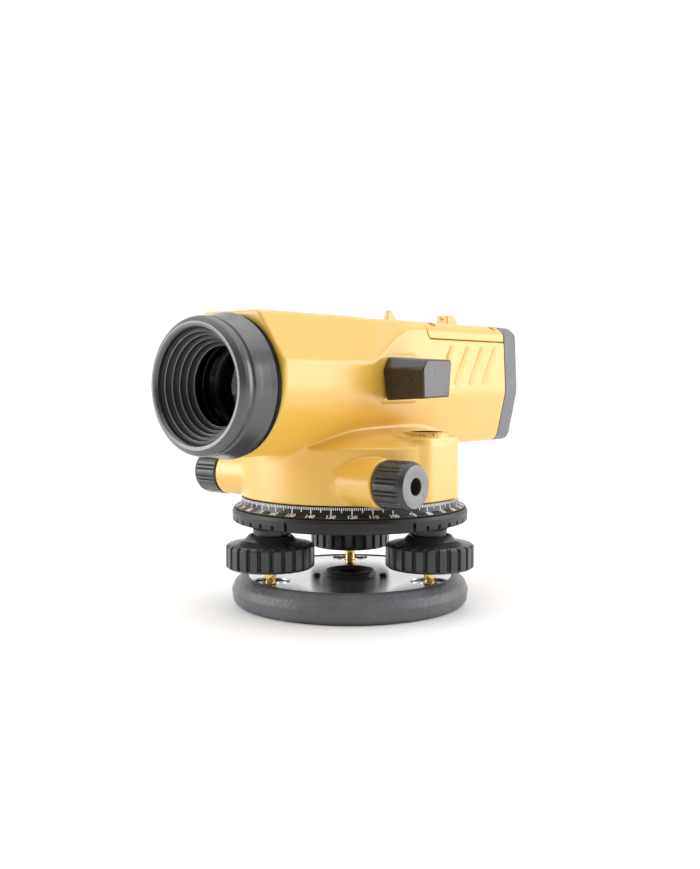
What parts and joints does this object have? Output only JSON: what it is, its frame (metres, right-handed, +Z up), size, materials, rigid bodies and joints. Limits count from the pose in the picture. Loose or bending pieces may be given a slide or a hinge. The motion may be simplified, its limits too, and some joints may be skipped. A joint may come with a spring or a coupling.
{
  "type": "automatic level",
  "caption": "Self-levelling surveying telescope on a levelling tribrach, with graduated circle, fine-motion knobs and a mirror over its round bubble.",
  "frame": {"origin": "on the vertical turning axis, in the plane of the base plate's underside, at the mouth of the tripod screw's bore", "axes": "+Z up along the turning axis; +Y from the objective to the eyepiece; +X to the side with the circular level and its mirror"},
  "size_m": [0.1248, 0.215, 0.1389],
  "materials": {
    "yellow_paint": "satin powder coat",
    "dark_casting": "matt textured coat",
    "black_plastic": "satin moulded",
    "black_casting": "satin black",
    "grey_rubber": "satin",
    "grey_plastic": "fine grain",
    "polished_steel": "polished",
    "brass": "polished",
    "black_aluminium": "black anodised",
    "aluminium": "machined",
    "glass": "coated",
    "mirror": "silvered"
  },
  "bodies": {
    "base": {"base_plate": "dark_casting", "spring_plate": "polished_steel", "tripod_bush": "black_casting", "plate_screw_1": "black_aluminium", "plate_screw_2": "black_aluminium", "plate_screw_3": "black_aluminium"},
    "foot_screw_1": {"foot_screw_knob_1": "black_plastic", "foot_screw_spindle_1": "brass"},
    "foot_screw_2": {"foot_screw_knob_2": "black_plastic", "foot_screw_spindle_2": "brass"},
    "foot_screw_3": {"foot_screw_knob_3": "black_plastic", "foot_screw_spindle_3": "brass"},
    "leg_nut": {"foot_screw_nut_1": "brass"},
    "tribrach_head": {"trivet": "black_casting", "foot_screw_nut_2": "brass", "foot_screw_nut_3": "brass", "clutch_spring": "polished_steel"},
    "horizontal_circle": {"positioning_ring": "black_plastic", "graduated_circle": "black_aluminium"},
    "fine_wheel": {"worm_wheel": "brass"},
    "alidade": {"main_housing": "yellow_paint", "top_cover": "yellow_paint", "cover_screw_1": "polished_steel", "cover_screw_2": "polished_steel", "cover_screw_3": "polished_steel", "cover_screw_4": "polished_steel", "axis_spindle": "polished_steel", "axis_nut": "brass", "worm_bearing_left": "brass", "worm_bearing_right": "brass", "objective_hood": "grey_rubber", "hood_ring": "black_plastic", "objective_cell": "black_aluminium", "objective_lens": "glass", "compensator_frame": "aluminium", "suspension_ribbon_left": "polished_steel", "suspension_ribbon_right": "polished_steel", "damper_magnet": "polished_steel", "rear_cap": "grey_plastic", "reticle_cell": "brass", "reticle_glass": "glass", "eyepiece_mount": "black_aluminium", "level_cup": "black_aluminium", "level_vial": "glass", "mirror_housing": "black_plastic", "level_mirror": "mirror"},
    "fine_drive": {"worm_shaft": "polished_steel", "fine_knob_left": "black_plastic", "fine_knob_right": "black_plastic"},
    "focus_drive": {"focus_pinion": "polished_steel", "focus_knob": "black_plastic"},
    "focus_carriage": {"focus_carrier": "black_aluminium", "focus_lens": "glass"},
    "compensator_pendulum": {"pendulum": "aluminium", "pendulum_prism": "glass"},
    "eyepiece": {"eyepiece_tube": "aluminium", "eyepiece_lens": "glass"},
    "diopter": {"diopter_ring": "black_plastic"}
  },
  "joints": [
    {"name": "foot_screw_1_turn", "type": "hinge", "parent": "base", "child": "foot_screw_1", "pos_m": [-0.0267, 0.03242, 0.012], "axis": [0, 0, 1], "range_deg": [-1080, 1080]},
    {"name": "foot_screw_2_turn", "type": "hinge", "parent": "base", "child": "foot_screw_2", "pos_m": [-0.01473, -0.03933, 0.012], "axis": [0, 0, 1], "range_deg": [-1080, 1080]},
    {"name": "foot_screw_3_turn", "type": "hinge", "parent": "base", "child": "foot_screw_3", "pos_m": [0.04143, 0.00691, 0.012], "axis": [0, 0, 1], "range_deg": [-1080, 1080]},
    {"name": "head_pitch", "type": "hinge", "parent": "base", "child": "leg_nut", "pos_m": [0.01335, -0.01621, 0.035], "axis": [0.7719, 0.6357, 0], "range_deg": [-2.1, 2.1]},
    {"name": "head_roll", "type": "hinge", "parent": "leg_nut", "child": "tribrach_head", "pos_m": [0, 0, 0.035], "axis": [0.6357, -0.7719, 0], "range_deg": [-3.6, 3.6]},
    {"name": "circle_turn", "type": "hinge", "parent": "tribrach_head", "child": "horizontal_circle", "pos_m": [0, 0, 0.046], "axis": [0, 0, 1], "continuous": true},
    {"name": "coarse_turn", "type": "hinge", "parent": "tribrach_head", "child": "fine_wheel", "pos_m": [0, 0, 0.061], "axis": [0, 0, 1], "continuous": true},
    {"name": "fine_turn", "type": "hinge", "parent": "fine_wheel", "child": "alidade", "pos_m": [0, 0, 0.061], "axis": [0, 0, 1], "continuous": true},
    {"name": "fine_knob_turn", "type": "hinge", "parent": "alidade", "child": "fine_drive", "pos_m": [0, -0.033, 0.0607], "axis": [1, 0, 0], "continuous": true},
    {"name": "focus_knob_turn", "type": "hinge", "parent": "alidade", "child": "focus_drive", "pos_m": [-0.045, 0.006, 0.098], "axis": [1, 0, 0], "range_deg": [-128, 128]},
    {"name": "focus_slide", "type": "slide", "parent": "alidade", "child": "focus_carriage", "axis": [0, 1, 0], "range_m": [-0.008, 0.008]},
    {"name": "compensator_swing", "type": "hinge", "parent": "alidade", "child": "compensator_pendulum", "pos_m": [0, 0.0465, 0.1167], "axis": [1, 0, 0], "range_deg": [-0.5, 0.5]},
    {"name": "eyepiece_travel", "type": "slide", "parent": "alidade", "child": "eyepiece", "axis": [0, 1, 0], "range_m": [-0.00125, 0.00125]},
    {"name": "diopter_turn", "type": "hinge", "parent": "eyepiece", "child": "diopter", "pos_m": [0, 0.107, 0.1021], "axis": [0, 1, 0], "range_deg": [-131, 131]}
  ],
  "couplings": [
    {"joint": "head_pitch", "follows": "foot_screw_1_turn", "ratio": -0.0018947},
    {"joint": "head_roll", "follows": "foot_screw_2_turn", "ratio": 0.0032817},
    {"joint": "foot_screw_3_turn", "follows": "foot_screw_2_turn", "ratio": -1},
    {"joint": "fine_knob_turn", "follows": "fine_turn", "ratio": 48},
    {"joint": "focus_knob_turn", "follows": "focus_slide", "rad_per_m": -277.78},
    {"joint": "diopter_turn", "follows": "eyepiece_travel", "rad_per_m": 1818.2}
  ]
}
